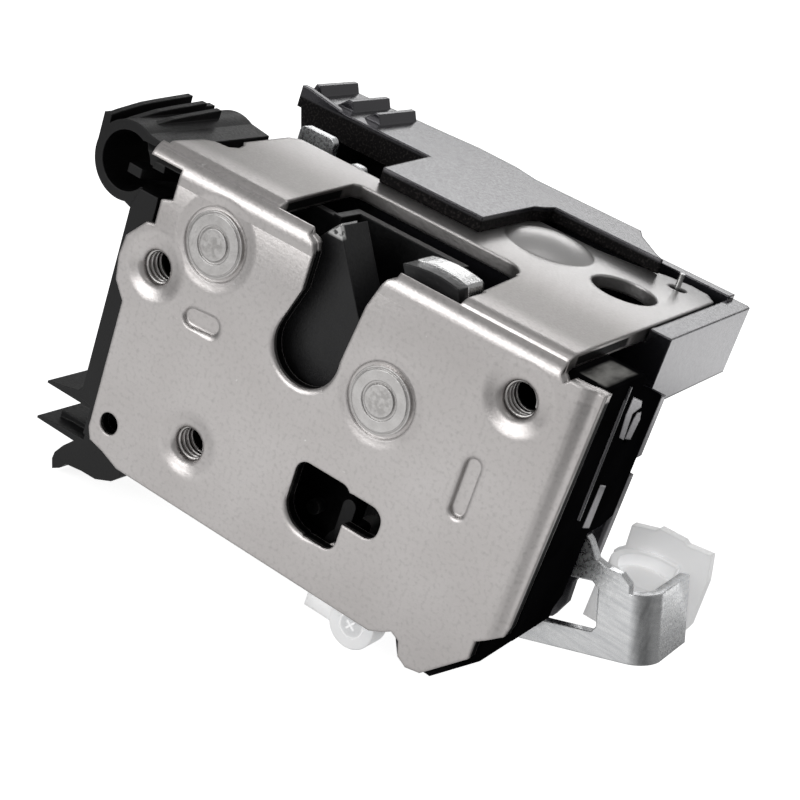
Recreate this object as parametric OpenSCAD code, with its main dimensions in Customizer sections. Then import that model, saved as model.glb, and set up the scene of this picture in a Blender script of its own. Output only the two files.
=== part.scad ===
// Door lock: steel face plate with a turned-over flange, a claw and a pawl riveted
// behind it, a plastic housing round them, a lever train behind that and a cover that
// reaches over the flange. Origin on the front of the face plate, on the centre line
// of the striker slot. +X along the plate, +Y into the lock, +Z up to the flange.

/* [Face plate] */
// Thickness of the steel sheet
plate_t = 2.2; // [1.6:0.1:2.8]
// Right edge of the face plate
plate_right = 42.6; // [41:0.2:46]
// Left edge of the face plate
plate_left = -34.2; // [-38:0.2:-33.6]
// Bottom edge of the face plate
plate_bottom = -20.8; // [-24:0.2:-20]
// Top face of the flange
flange_top = 30.5; // [29.5:0.1:32]
// Outer radius of the bend between plate and flange
bend_r = 3.5; // [3:0.1:4]
// Depth of the flange at the back of its right side
flange_d = 48; // [47.4:0.2:50]
// Set-back of the strip along the right edge
step_d = 0.9; // [0.4:0.1:1.2]

/* [Fixing holes] */
// Wall radius of the threaded holes
thread_r = 2.55; // [2:0.05:3]
// Outside radius of the drawn collars
collar_r = 4.2; // [3.8:0.1:4.6]
// Length of the drawn collars behind the sheet
collar_l = 3; // [2:0.1:3.2]
// Hole in the left ear, along the plate
hole_a_x = -30; // [-30.6:0.1:-29.4]
// Hole in the left ear, height
hole_a_z = 12.5; // [12:0.1:13]
// Lower hole, along the plate
hole_b_x = -15.9; // [-17:0.1:-15]
// Lower hole, height
hole_b_z = -10.4; // [-12:0.1:-10]
// Right hole, along the plate
hole_c_x = 31.7; // [30:0.1:33]
// Right hole, height
hole_c_z = 22; // [20:0.1:22.4]

/* [Claw] */
// Claw pivot, along the plate
claw_x = 12.5; // [12.2:0.1:12.8]
// Claw pivot, height
claw_z = 12; // [11.7:0.1:12.3]
// Reach of the claw's jaw and tooth
claw_r = 25.5; // [25:0.1:25.7]
// Reach of the claw's hook
hook_r = 19.3; // [19:0.1:20]
// Width of the claw's mouth
mouth_w = 9; // [8.6:0.1:9.4]
// Front of the claw behind the face of the plate
claw_y = 4; // [3.8:0.1:4.2]
// Thickness of the claw over its plastic
claw_t = 7; // [6.6:0.1:7.1]
// Thickness of the claw's steel
core_t = 4; // [3.4:0.1:4.2]
// Plastic skin in front of the steel
skin_t = 2.2; // [1.8:0.1:2.3]
// Plastic lining in the mouth
lining_t = 1.2; // [0.8:0.1:1.5]

/* [Pawl] */
// Pawl pivot, along the plate
pawl_x = -20.9; // [-21.3:0.1:-20.6]
// Pawl pivot, height
pawl_z = 20.5; // [20.2:0.1:20.8]
// Angle by which the resting pawl clears the claw
pawl_lift = 8; // [7.6:0.1:8.6]

/* [Rivets] */
// Radius of the rivets where claw and pawl turn
pin_r = 4; // [3.6:0.1:4.3]
// Radius of the riveted ends
rivet_r = 2.9; // [2.5:0.1:3.2]
// Radius of the rivet heads
head_r = 5; // [4.6:0.1:5.4]
// Running clearance of the pivots
fit = 0.05; // [0.02:0.01:0.09]

/* [Housing] */
// Wall of the plastic mouldings
wall = 1.6; // [1.3:0.1:1.8]
// Back face of the housing's floor
floor_y = 14.5; // [14.3:0.1:14.6]
// Thickness of the steel back plate
back_t = 1.5; // [1.2:0.1:1.6]
// Left edge of the housing
case_left = -38.9; // [-40:0.1:-38.6]
// Depth of the striker channel
channel_y = 19.5; // [19.2:0.1:20.4]
// Depth of the housing at the back cover
case_d = 26; // [25.4:0.1:26.2]
// Outside radius of the cable seat
seat_r = 6.2; // [6:0.1:6.5]
// Inside radius of the cable seat
seat_bore_r = 4.65; // [4.3:0.05:4.9]

/* [Cover] */
// Top face of the cover
cover_top = 33; // [32.6:0.1:34]
// Underside of the tray
tray_bottom = 19; // [18.4:0.1:19.4]
// Back of the cover
cover_back = 61; // [60:0.2:63]
// Left end of the cover
cover_left = -42.6; // [-44:0.1:-42]
// Right end wall of the tray, outer face
tray_right = 39.8; // [39.2:0.1:41]

/* [Levers] */
// Thickness of the zinc-plated lever sheet
lever_t = 1.5; // [1.2:0.1:1.6]
// Front of the outside lever
lever_y = 17; // [16.8:0.1:17.3]
// Radius of the lever pins
lever_pin_r = 2.5; // [2.2:0.1:2.8]
// Height of the outside lever's return
return_h = 10.6; // [10:0.1:11]
// Tilt of the outside lever
lever_tilt = 18.5; // [17:0.5:20]

/* [Hidden] */
$fn = 64;

eps = 0.01;
gap = 0.3;
flange_under = flange_top - plate_t;
bend_z = flange_top - bend_r;
inner_r = bend_r - plate_t;
front_y = plate_t + 0.1;
case_top = flange_under - 0.1;
core_y = claw_y + skin_t;
core_y1 = core_y + core_t;
claw_y1 = claw_y + claw_t;
back_y = floor_y + 0.1;
back_y1 = back_y + back_t;
head_t = 1;
spring_w = 0.8;
spring_y = claw_y1 + 0.3;
mouth_a = 123.6;
throat = [-5.7, 10.1];
notch_r = claw_r - 3.2;
hub_r = 11.5;
step_x = plate_right - 3.6;
step_curve = [[0, 0], [0.6, 0.06], [1.2, 0.28], [1.8, 0.66], [2.3, 0.94], [2.7, 1], [3.1, 0.9],
    [3.6, 0.68]];
cut_y = 24;
hole_a = [hole_a_x, hole_a_z];
hole_b = [hole_b_x, hole_b_z];
hole_c = [hole_c_x, hole_c_z];
claw_c = [claw_x, claw_z];
pawl_c = [pawl_x, pawl_z];
seat_c = [-42.3, flange_under - 4.1];
seat_d = 28.5;
slot_c = [-1.2, 13.2];
slot_r = 5.8;
flange_hole = [27, 36];
flange_hole_r = 5.2;
dome_c = [12, 39];
dome_r = 7.3;
dome_h = 1.8;
tongue_l = -14.3;
tongue_r = 4.5;
tongue_front = 29;
tongue_t = cover_top - flange_top - 0.1;
deck_y = 45;
deck_right_y = 50.3;
back_edge = cover_back - 1.4;
rail_y = cover_back - 3.6;
lean = 5;
tray_y = case_d + 0.3;
tray_top = flange_top - 0.2;
lever_pivot = [20, -8];
lock_pivot = [12.5, -14.6];
lock_y = 4.2;
inside_pivot = [-30, case_d - 4.5];
inside_z = 22.6;
slide_pivot = [-12, 40];
slide_z = 23.6;
spring_hole = [30.5, min(cover_back - 12.6, flange_d + 0.4)];
toggle_c = [27, spring_hole[1] + 0.6];
toggle_r = 3.4;
screw_spots = [[-33.2, -10], [2, -14.5], [30, 14]];
tray_spots = [[-14, 14.4], [4, 14.4]];
channel_wall = 1.4;
return_u = 31;
bend_o = 3.8;
lever_lo = -15.8;
lever_hi = lever_lo + return_h;
stud_r = 2.2;
stud_w = lever_lo + return_h / 2 - 0.4;
stud_y = lever_y + 8;
lock_pin_r = 2;
lock_stud = [5.2, -9.7];
clip_x = lever_pivot[0] + (return_u + bend_o - lever_t) * cos(lever_tilt)
    - lever_hi * sin(lever_tilt) - 0.5;
clip_z = lever_pivot[1] + (return_u + bend_o) * sin(lever_tilt) + lever_hi * cos(lever_tilt) - 0.1;
tray_left = -36.8;
side_x = plate_right - 0.4;
skirt_x = side_x - wall - 0.4;
pawl_hub = 6.2;

// The three directions of extrusion
module front(y0, y1) {
    translate([0, y1, 0]) rotate([90, 0, 0]) linear_extrude(y1 - y0) children();
}
module up(z0, z1) {
    translate([0, 0, z0]) linear_extrude(z1 - z0) children();
}
module side(x0, x1) {
    translate([x0, 0, 0]) rotate([90, 0, 90]) linear_extrude(x1 - x0) children();
}
module at(c) { translate([c[0], c[1]]) children(); }
module disc(c, r) { at(c) circle(r); }
module box(a, b) { translate(a) cube([b[0] - a[0], b[1] - a[1], b[2] - a[2]]); }
module rect(a, b) { translate(a) square([b[0] - a[0], b[1] - a[1]]); }

// A rectangle with round corners, exact
module round_rect(a, b, r) {
    rect([a[0] + r, a[1]], [b[0] - r, b[1]]);
    rect([a[0], a[1] + r], [b[0], b[1] - r]);
    for (x = [a[0] + r, b[0] - r], y = [a[1] + r, b[1] - r]) disc([x, y], r);
}

function polar(r, a) = [r * cos(a), r * sin(a)];
function arc(r, a0, a1, n) = [for (i = [0:n]) polar(r, a0 + (a1 - a0) * i / n)];
function turned(v, a) = [v[0] * cos(a) - v[1] * sin(a), v[0] * sin(a) + v[1] * cos(a)];

// Face plate: outline of the front, seen from outside
module plate_outline() {
    polygon([[plate_left, -17], [plate_left + 0.8, -18.8], [plate_left + 3.7, plate_bottom + 1.3],
        [plate_left + 7.1, plate_bottom], [22.5, plate_bottom], [24.4, plate_bottom + 0.9],
        [25.9, plate_bottom + 1.9], [27.4, plate_bottom + 1.2], [28.1, plate_bottom - 1],
        [29.8, plate_bottom - 1.9], [32.2, plate_bottom - 1.4], [38.2, -16], [38.2, -13],
        [plate_right - 1, -10.5], [plate_right - 0.7, -9], [plate_right, 28], [37.6, 28],
        [36.8, 27.2], [36, 28], [36, flange_top], [-29.9, flange_top], [-30.1, 23.4],
        [-32.1, 22.7], [-32.1, 18.7], [-33.6, 18.4], hole_a + [-6.6, 2.4], hole_a + [-7, -1],
        hole_a + [-6.4, -4.8], [plate_left, 5]]);
}

// Set-back along the right edge, a soft dip of the sheet, in plan
module edge_strip(x0) {
    polygon(concat([[x0, 0]], [for (p = step_curve) [step_x + p[0], step_d * p[1]]],
        [for (i = [7:-1:0]) [step_x + step_curve[i][0], plate_t + step_d * step_curve[i][1]]],
        [[x0, plate_t]]));
}

// Striker slot in the front, flaring into the bend
module slot_outline() {
    disc(slot_c, slot_r);
    polygon([[-6.6, 15.4], [-4.8, 21], [-4.8, 26.4], [-5.4, 27.8], [-6.6, 28.6],
        [-6.6, flange_top + 1], [8.6, flange_top + 1], [8.6, 28.9], [7.5, 28.3], [7, 27.4],
        [5.7, 23.4], [4.5, 13.5]]);
}

// Window for the lock lever's tab: a wide part and an arm
module key_outline() {
    difference() {
        round_rect([3, -13.2], [13, -2.3], 2);
        difference() {
            rect([3, -13.2], [7.5, -8.4]);
            disc([7.5, -8.4], 4.6);
        }
    }
    round_rect([11, -8.2], [18.8, -3], 2.2);
}

// Recessed bead: a short groove with round ends
module bead(a, b, r) {
    n = turned(b - a, 90) * r / norm(b - a);
    disc(a, r);
    disc(b, r);
    polygon([a + n, a - n, b - n, b + n]);
}

// Cross-section of sheet, bend and flange in the Y-Z plane
module bent_section() {
    rect([0, -26], [plate_t, bend_z]);
    rect([bend_r, flange_under], [60, flange_top]);
    intersection() {
        difference() {
            disc([bend_r, bend_z], bend_r);
            disc([bend_r, bend_z], inner_r);
        }
        rect([0, bend_z - eps], [bend_r + eps, flange_top]);
    }
}

module flange_outline() {
    polygon([[-29.9, -1], [-30.5, 1], [-34.6, 1], [-35, 3], [-34.4, 9.6], [-33.4, 11], [-31, 11.6],
        [-30.4, 13.4], [-31, 15.4], [-32, 16.6], [-32, 28.6], [-30.8, 30.4], [-6, 30.4], [-6, flange_d],
        [16, flange_d], [22, flange_d + 1.6], [27, flange_d + 4], [31, flange_d + 5],
        [34, flange_d + 4.6], [36, flange_d + 2.4], [36, -1]]);
}

// Cut-out of the flange, where the striker comes in
module flange_cut() {
    difference() {
        polygon([[-13, -1], [-15, cut_y - 1], [-14, cut_y], [16.6, cut_y], [19, -1]]);
        difference() {
            rect([12.6, cut_y - 4], [18, cut_y + 1]);
            disc([12.6, cut_y - 4], 4);
        }
    }
}

// Draw-formed collar with its rounded mouth, round the Y axis
module collar(c) {
    lip = 0.9;
    translate([c[0], 0, c[1]]) rotate([-90, 0, 0]) rotate_extrude()
        difference() {
            rect([thread_r, 0], [collar_r, plate_t + collar_l]);
            difference() {
                rect([thread_r - eps, -eps], [thread_r + lip, lip]);
                disc([thread_r + lip, lip], lip);
            }
        }
}

module face_plate() {
    color("silver") difference() {
        union() {
            difference() {
                intersection() {
                    side(-40, step_x) bent_section();
                    front(-1, bend_z + 35) plate_outline_wide();
                    up(-30, flange_top) union() {
                        flange_outline();
                        rect([-45, -1], [45, plate_t]);
                    }
                }
                front(-1, plate_t + 1) disc(hole_a, collar_r - eps);
                front(-1, plate_t + 1) disc(hole_b, collar_r - eps);
                front(-1, plate_t + 1) disc(hole_c, collar_r - eps);
            }
            for (c = [hole_a, hole_b, hole_c]) collar(c);
            intersection() {
                up(-30, bend_z) edge_strip(step_x - 0.2);
                front(-1, 5) plate_outline();
            }
            intersection() {
                up(bend_z, 28) edge_strip(37.2);
                front(-1, 5) plate_outline();
            }
            dome();
        }
        front(-1, bend_r + 0.4) slot_outline();
        translate([0, bend_r, bend_z]) rotate([-51, 0, 0])
            box([-13, -9, 0], [18.6, 0, 9]);
        up(bend_z - 1, flange_top + 5) intersection() {
            flange_cut();
            rect([-20, bend_r - 0.4], [25, 40]);
        }
        front(-1, plate_t + 1) key_outline();
        front(-1, plate_t + 1) disc([plate_left + 3.5, plate_bottom + 6.2], 1.8);
        front(-1, 0.5) bead([-21.3, 8.4], [-17.7, 8.8], 1.5);
        front(-1, 0.6) bead([29, 3.4], [29, 10.2], 1.25);
        for (c = [claw_c, pawl_c]) {
            front(-1, 0.25) disc(c, head_r + 0.6);
            front(-1, plate_t + 1) disc(c, rivet_r);
        }
        up(flange_under - 1, flange_top + 1) disc(flange_hole, flange_hole_r);
        up(flange_under - 1, flange_top + 1)
            round_rect(spring_hole - [1.5, 1.1], spring_hole + [1.5, 1.1], 1);
        translate([dome_c[0], dome_c[1], flange_under + dome_h - dome_sphere_r()])
            sphere(dome_sphere_r(), $fn = 64);
    }
}

function dome_sphere_r() = (dome_r * dome_r + dome_h * dome_h) / (2 * dome_h);

module dome() {
    r = dome_sphere_r();
    intersection() {
        translate([dome_c[0], dome_c[1], flange_top + dome_h - r]) sphere(r, $fn = 64);
        up(flange_under + eps, flange_top + dome_h + 1) disc(dome_c, dome_r + 2);
    }
}

// Front outline with the flange's own width above the bend
module plate_outline_wide() {
    plate_outline();
    rect([-36, bend_z + 1.2], [36, flange_top + 1]);
}

// Housing: tray round claw and pawl, with the striker channel and the side frame
module case_outline() {
    polygon([[case_left, -14.8], [case_left + 2.3, -15], [case_left + 2.3, -20],
        [plate_left + 8, plate_bottom - 0.6],
        [23.4, plate_bottom - 0.6], [25.4, plate_bottom + 1], [27, plate_bottom - 2.2],
        [32.9, plate_bottom - 2.4], [39.2, -16.6], [39.2, -13.6], [side_x, -11.6],
        [side_x, case_top], [-36, case_top], [case_left, 18.6]]);
}

module case_inside() {
    polygon([[case_left + 4.6, -15.6], [case_left + 6.6, plate_bottom + 2],
        [24.6, plate_bottom + 2],
        [27.4, plate_bottom + 0.4], [32, plate_bottom + 0.4], [37.4, -15],
        [37.4, -12], [side_x - wall, -9.8], [side_x - wall, case_top - wall],
        [-34.6, case_top - wall], [case_left + 4.6, 20]]);
}

module channel_outline(m) {
    polygon([[-9.5 - m, 7 - m], [5.8 + m, 7 - m], [5.8 + m, 18], [8 + m, 21.5],
        [8 + m, case_top + 0.3], [-9.5 - m, case_top + 0.3]]);
}

// Right side frame with its two windows, in the Y-Z plane
module side_frame() {
    difference() {
        polygon([[front_y, -9.6], [front_y, 25.8], [9, 27.6], [21.2, 24.2], [case_d - 1.8, 23],
            [case_d - 1.8, 3], [21, 2.2], [lever_y - 0.6, 2.2], [lever_y - 0.6, -8.4],
            [13.6, -10.8]]);
        polygon([[12, 18.2], [13.8, 18.2], [15.2, 24.5], [13.4, 25]]);
        polygon([[15.7, 17.2], [17.1, 17], [17.9, 21.6], [16.5, 22]]);
        rect([12.8, 3.9], [14.8, 10.8]);
    }
}

// Thin fins off the left wall, the block on the lower one, and the hook under it
module fins() {
    l = case_left;
    front(3, 16) polygon([[l + 0.5, -11.4], [l - 0.1, -11.5], [l - 0.3, -13], [l - 1.3, -14.2],
        [l - 3.2, -14.7], [l - 7.5, -15.6], [l - 7.5, -16], [l + 2.5, -15.9], [l + 2.5, -14]]);
    front(3, 16) polygon([[l + 2.5, -21.4], [l - 3, -21.6], [l - 7.8, -22.2], [l - 7.8, -22.6],
        [l + 2.5, -22.6]]);
    box([l - 5.6, 6, -22.2], [l + 0.4, 16, -20.6]);
    side(l + 2.2, l + 3.8) rect([3, -23], [16, -15]);
    front(3, 15) polygon([[-38.4, -22.4], [-36, -21], [-28.2, -21], [-28.2, -23.8], [-29.5, -25.2],
        [-32.6, -26.5], [-35.5, -26.6], [-38.9, -27.1], [-39.9, -28.4], [-41.3, -29.2],
        [-41.8, -27.6], [-41.6, -26.3], [-40.3, -24.4]]);
}

module housing() {
    color([0.11, 0.11, 0.12]) difference() {
        union() {
            difference() {
                front(front_y, floor_y) case_outline();
                front(front_y - 1, floor_y - wall) case_inside();
                up(case_top - 4, case_top + 1) difference() {
                    rect([-15.6, 0], [20, 30]);
                    rect([-30, floor_y - wall], [30, 30]);
                }
            }
            difference() {
                front(floor_y - wall, channel_y) channel_outline(channel_wall);
                front(floor_y - wall - 1, channel_y - wall) channel_outline(0);
            }
            side(side_x - wall, side_x) side_frame();
            cable_seat();
            fins();
        }
        front(front_y - 1, channel_y - wall) intersection() {
            channel_outline(0);
            rect([-9.5, 7], [8, 40]);
        }
        for (c = [claw_c, pawl_c]) front(0, floor_y + 1) disc(c, pin_r);
        front(lock_y - 0.6, lock_y + 7)
            rect([lock_pivot[0] - 8.5, plate_bottom - 3], [lock_pivot[0] + 10, plate_bottom + 4]);
        front(0, floor_y + 1) disc(lock_pivot, lock_pin_r);
        box([-43, 0, inside_z - 1], [-30, floor_y + 1, inside_z + lever_t + 1.4]);
        front(claw_y, spring_y + 2) disc(pawl_c, pawl_hub + 0.4);
        box([step_x + 0.4, 0, -30], [50, plate_t + step_d + 0.1, 40]);
        side(-40, 40) polygon([[2, bend_z - 0.4], [front_y, bend_z - 0.4],
            [bend_r + 0.4, flange_under + 0.1], [2, flange_under + 0.1]]);
        for (c = screw_spots) front(floor_y - wall - 3, floor_y + 1) disc(c, 1.2);
    }
}

// Hollow seat for the cable end: an open ring along Y with ribs on top
module cable_seat() {
    left = seat_c[0] - seat_r;
    difference() {
        union() {
            front(3, seat_d) disc(seat_c, seat_r);
            front(3, seat_d) rect([left + 0.1, seat_c[1]], [left + 1.3, flange_under + 1.3]);
            for (i = [0:2]) side(left + 0.5 + 3 * i, left + 1.5 + 3 * i)
                polygon([[3, 26], [3, 29.6], [5.4, 30.1], [10.3, 30.9], [14, 31.2],
                    [seat_d - 6.8, 31.7], [seat_d - 6.8, 26]]);
            front(3, seat_d) polygon([[-43.5, 30.2], [-35.6, 29.2], [-35.4, 25.9], [-37.9, 26.7],
                [-40, 28.6]]);
            front(3, 16) polygon([[seat_c[0] - 1, 19], [case_left + 0.1, 17.6],
                [case_left + 0.1, 13], [-35.4, 13], [-35.4, 22], [-37.4, 22.4], [-39.5, 20.6]]);
        }
        front(2, seat_d + 1) disc(seat_c, seat_bore_r);
        front(2, seat_d + 1) rect([seat_c[0] + 1.5, inside_z - 1],
            [-35, inside_z + lever_t + 1.4]);
    }
}

module back_plate() {
    color("gainsboro") front(back_y, back_y1) difference() {
        polygon([[-28.6, 26.5], [-11.4, 26.5], [-11.4, 5.2], [9.9, 5.2], [9.9, 26.5], [24, 26.5],
            [26, 20], [26, 2], [20, -3.6], [-14, -3.6], [-28.6, 9]]);
        for (c = [claw_c, pawl_c]) disc(c, rivet_r);
    }
}

// Back cover of the lever space, a shallow dish open to the front
module back_cover() {
    color([0.13, 0.13, 0.14]) difference() {
        union() {
            front(case_d - wall, case_d) back_rim();
            front(back_y1 + 0.2, case_d - wall + eps) difference() {
                back_outline(skirt_x);
                back_inside();
            }
            for (c = tray_spots) front(case_d - wall - 3.4, case_d - wall + eps) disc(c, 2.8);
        }
        for (c = tray_spots) front(case_d - wall - 4, case_d + 1) disc(c, 1.2);
        front(0, channel_y + gap) channel_outline(channel_wall + gap);
        for (c = [claw_c, pawl_c]) front(0, back_y1 + head_t + gap) disc(c, head_r + 1);
        front(0, case_d + 1) for (c = screw_spots) disc(c, 1.6);
        front(case_d - 0.6, case_d + 1) for (c = screw_spots) disc(c, 3.2);
        front(back_y1 - 1, lever_y + lever_t + 1.4)
            rect([22, -24], [side_x + 2, 3.4]);
    }
    color([0.13, 0.13, 0.14]) for (c = screw_spots) difference() {
        front(floor_y + 0.1, case_d - 0.6) disc(c, 3);
        front(0, case_d) disc(c, 1.2);
    }
}

module back_outline(right) {
    polygon([[-37, -14], [-33, -18.4], [right - 5.7, -18.4], [right - 2.8, -16.6],
        [right - 1.6, -13.6], [right - 1.8, -10],
        [right, -5], [right, tray_bottom - 0.3], [-37, tray_bottom - 0.3]]);
}

// Rim of the dish: its right edge stands up beside the tray and has a notch
module back_rim() {
    difference() {
        union() {
            back_outline(side_x);
            rect([side_x - 5, tray_bottom - 1], [side_x, tray_bottom + 3.6]);
        }
        rect([side_x - 1.2, 9.5], [side_x + 1, 12.7]);
    }
}

module back_inside() {
    polygon([[-37 + wall, -13.2], [-32.2, -18.4 + wall], [31.6, -18.4 + wall],
        [skirt_x - 4.8, -14], [skirt_x - 2.4, -11.4], [skirt_x - wall, -4.6],
        [skirt_x - wall, tray_bottom - 0.3 - wall], [-37 + wall, tray_bottom - 0.3 - wall]]);
}

// Rear cover: tray under the flange, a raised deck behind it and a tongue over it
module rear_cover() {
    color([0.18, 0.18, 0.19]) difference() {
        union() {
            difference() {
                up(tray_bottom, tray_top) tray_outline();
                up(tray_bottom + wall, tray_top + 1) tray_inside();
                box([tray_left - 1, tray_y - 1, 24.5], [-32.4, deck_y, tray_top + 1]);
            }
            deck_wall();
            front(tray_y, tray_y + wall) rect([-19, 10.4], [9, tray_bottom + 1]);
        }
        up(case_top, flange_top + 0.1) polygon([[-32.6, 20], [-32.6, 30.9], [-6.4, 30.9],
            [-6.4, flange_d + 0.5], [16, flange_d + 0.5], [22, flange_d + 2.1],
            [27, flange_d + 4.5], [31, flange_d + 5.4], [34.2, flange_d + 5],
            [36.3, flange_d + 2.8], [36.3, 20]]);
        for (c = tray_spots) front(tray_y - 1, tray_y + wall + 1) disc(c, 1.5);
    }
    color([0.18, 0.18, 0.19]) {
        up(cover_top - tongue_t, cover_top) deck_outline();
        cover_ribs();
    }
}

module tray_outline() {
    polygon([[tray_left, tray_y + 3.2], [tray_left + 1.6, tray_y], [tray_right, tray_y],
        [tray_right, rail_y - 0.6],
        [tray_right - 0.6, rail_y], [17.5, rail_y], [17.5, back_edge],
        [cover_left + lean, back_edge], [cover_left + lean, deck_y], [tray_left, deck_y]]);
}

module tray_inside() {
    polygon([[tray_left + wall, tray_y + wall + 2.2], [tray_left + wall + 1.1, tray_y + wall],
        [36.4, tray_y + wall], [36.4, rail_y - 2.1],
        [17.5 - wall, rail_y - 2.1], [17.5 - wall, back_edge - wall],
        [cover_left + 4, back_edge - wall], [cover_left + 4, deck_y + wall],
        [tray_left + wall, deck_y + wall]]);
}

module deck_outline() {
    polygon([[cover_left, deck_y], [tongue_l - 1.2, deck_y],
        [tongue_l, tongue_front], [tongue_r, tongue_front], [tongue_r, 45.6], [5.4, 47.8],
        [6, deck_right_y], [26, deck_right_y], [24.1, 51.7], [19, 57], [17.5, back_edge],
        [-3, back_edge], [-8, cover_back + 0.3], [-16, cover_back + 0.9], [-24, cover_back],
        [cover_left + 1.6, cover_back - 1.3], [cover_left, back_edge]]);
}

// Walls between tray and deck: leaning left end, back, both fronts, and the rail at the right
module deck_wall() {
    front(deck_y, back_edge) polygon([[cover_left, cover_top], [cover_left + lean, tray_bottom],
        [cover_left + lean + wall, tray_bottom], [cover_left + wall, cover_top]]);
    front(deck_y, deck_y + wall) polygon([[cover_left, cover_top], [cover_left + lean, tray_bottom],
        [tray_left + wall, tray_bottom], [tray_left + wall, cover_top]]);
    front(back_edge - wall, back_edge) polygon([[cover_left, cover_top],
        [cover_left + lean, tray_bottom], [17.5, tray_bottom], [17.5, cover_top]]);
    front(deck_y, deck_y + wall) rect([cover_left + 2, case_top], [-6.6, cover_top]);
    up(tray_bottom, cover_top) rect([6, flange_d + 5.4], [21, flange_d + 5.4 + wall]);
    up(tray_bottom, flange_top + 0.5) rect([17.5, rail_y - 2.1], [36.6, rail_y]);
}

// Gripping ribs on the left end, steep on the right, and the rim in front of them
module cover_ribs() {
    rib_h = 1.6;
    for (r = [[2.3, 2.2], [9.2, 3.4], [14.8, 3.4]])
        front(deck_y + 3, back_edge) translate([cover_left + r[0], cover_top - eps])
            polygon([[-r[1], 0], [0, 0], [-0.8, rib_h], [-1.6, rib_h]]);
    front(deck_y, deck_y + 1.2) polygon([[cover_left, cover_top - eps],
        [cover_left, cover_top + 1.25], [cover_left + 1.4, cover_top + 1.25],
        [cover_left + 9.6, cover_top - eps]]);
}

// Stepped rivet: two headed ends and a thicker pivot between the sheets
module stepped_rivet(c) {
    translate([c[0], 0, c[1]]) rotate([-90, 0, 0]) rotate_extrude() {
        rect([0, -0.5], [rivet_r - 0.5, 0]);
        rect([rivet_r, -0.45], [head_r - 0.5, 0.25]);
        rect([0, -0.25], [head_r, 0.25]);
        rect([0, 0.25], [rivet_r, plate_t]);
        rect([0, plate_t], [pin_r, back_y]);
        rect([0, back_y], [rivet_r, back_y1]);
        rect([0, back_y1], [head_r, back_y1 + head_t]);
    }
}

module claw_rivet() { color("gainsboro") stepped_rivet(claw_c); }
module pawl_rivet() { color("gainsboro") stepped_rivet(pawl_c); }

// Rubber block under the latched striker
module striker_bumper() {
    color([0.08, 0.08, 0.08]) front(spring_y + 2.2, channel_y - wall) difference() {
        rect([-9.3, 7.2], [5.6, 10.4]);
        disc([-0.9, 14.4], 4.4);
    }
}

// Claw: jaw, tooth, hub and hook around the pivot, less the mouth
module claw_shape(less, mouth) {
    difference() {
        union() {
            polygon(concat([polar(hub_r - 0.7 - less, 40), polar(14.5 - less, 60), polar(16.8 - less, 72)],
                arc(hook_r - less, 78, 112, 8), arc(claw_r - less, 124, 154, 6),
                [polar(notch_r - less, 156), polar(notch_r - less, 166.4)],
                arc(claw_r - less, 168.4, 186, 5),
                [polar(21 - less, 191), polar(17 - less, 202), polar(12.4 - less, 214)]));
            circle(hub_r - less);
        }
        at(throat) circle(mouth / 2);
        at(throat) rotate(mouth_a) rect([0, -mouth / 2], [25, mouth / 2]);
    }
}

module at_claw() { translate([claw_x, 0, claw_z]) children(); }
module at_pawl() { translate([pawl_x, 0, pawl_z]) children(); }

module claw_core() {
    color([0.72, 0.72, 0.72]) at_claw() front(core_y, core_y1) difference() {
        claw_shape(0, mouth_w + 2 * lining_t);
        circle(pin_r + fit);
    }
}

module claw_cover() {
    color([0.14, 0.14, 0.15]) at_claw() difference() {
        front(claw_y, claw_y1) difference() {
            claw_shape(0.5, mouth_w);
            circle(pin_r + 1.2);
        }
        front(core_y, core_y1) claw_shape(0, mouth_w + 2 * lining_t);
    }
}

// Coil of a torsion spring, closely wound, standing on y = 0
module coil(r, wire, turns) {
    pitch = 0.92 * wire;
    rotate([-90, 0, 0]) rotate_extrude() for (i = [0:turns - 1])
        translate([r, wire / 2 + i * pitch]) circle(wire / 2, $fn = 16);
}

// Straight leg that leaves the coil at an angle, seen from the front
module leg(r, l, a, y) {
    rotate([0, -a, 0]) translate([0, y, r]) rotate([0, 76, 0])
        translate([0, 0, -0.2]) cylinder(l, d = spring_w - 0.06, $fn = 16);
}

module claw_spring() {
    color("lightgrey") at_claw() translate([0, spring_y, 0]) {
        coil(6.4, spring_w, 2);
        leg(6.4, 11, -30, spring_w / 2);
        leg(6.4, 13, 150, 1.42 * spring_w);
    }
}

module pawl_spring() {
    color("lightgrey") at_pawl() translate([0, spring_y, 0]) {
        coil(5.4, spring_w, 2);
        leg(5.4, 9, -90, spring_w / 2);
        leg(5.4, 10, 180, 1.42 * spring_w);
    }
}

// Point on a circle round the claw, seen from the pawl's pivot
function from_pawl(r, a) = claw_c + polar(r, a) - pawl_c;

// Pawl: a bent strut whose nose drops into the claw's notch
module pawl_arm(less) {
    clear = claw_r + 0.8 + less;
    polygon([for (a = [200:45:335]) polar(pawl_hub - 0.5 - less, a),
        from_pawl(clear, 187), from_pawl(clear, 196), from_pawl(clear, 204.6),
        from_pawl(notch_r + 0.4 + less, 206), from_pawl(notch_r + 0.4 + less, 215.7),
        from_pawl(27.5, 215.7), from_pawl(31.5 - less, 212), from_pawl(33.6 - less, 203),
        from_pawl(35.6 - less, 193)]);
}

module pawl_layer(y0, y1, less, bore) {
    at_pawl() rotate([0, pawl_lift, 0]) difference() {
        union() {
            front(y0, y1) pawl_arm(less);
            front(y0, y1) circle(pawl_hub - less);
        }
        front(y0 - 1, y1 + 1) circle(bore);
    }
}

module pawl_core() {
    color([0.72, 0.72, 0.72]) pawl_layer(core_y, core_y1, 0, pin_r + fit);
}

module pawl_cover() {
    color([0.14, 0.14, 0.15]) pawl_layer(core_y1, claw_y1, 0.6, pin_r + 0.8);
}

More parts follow.
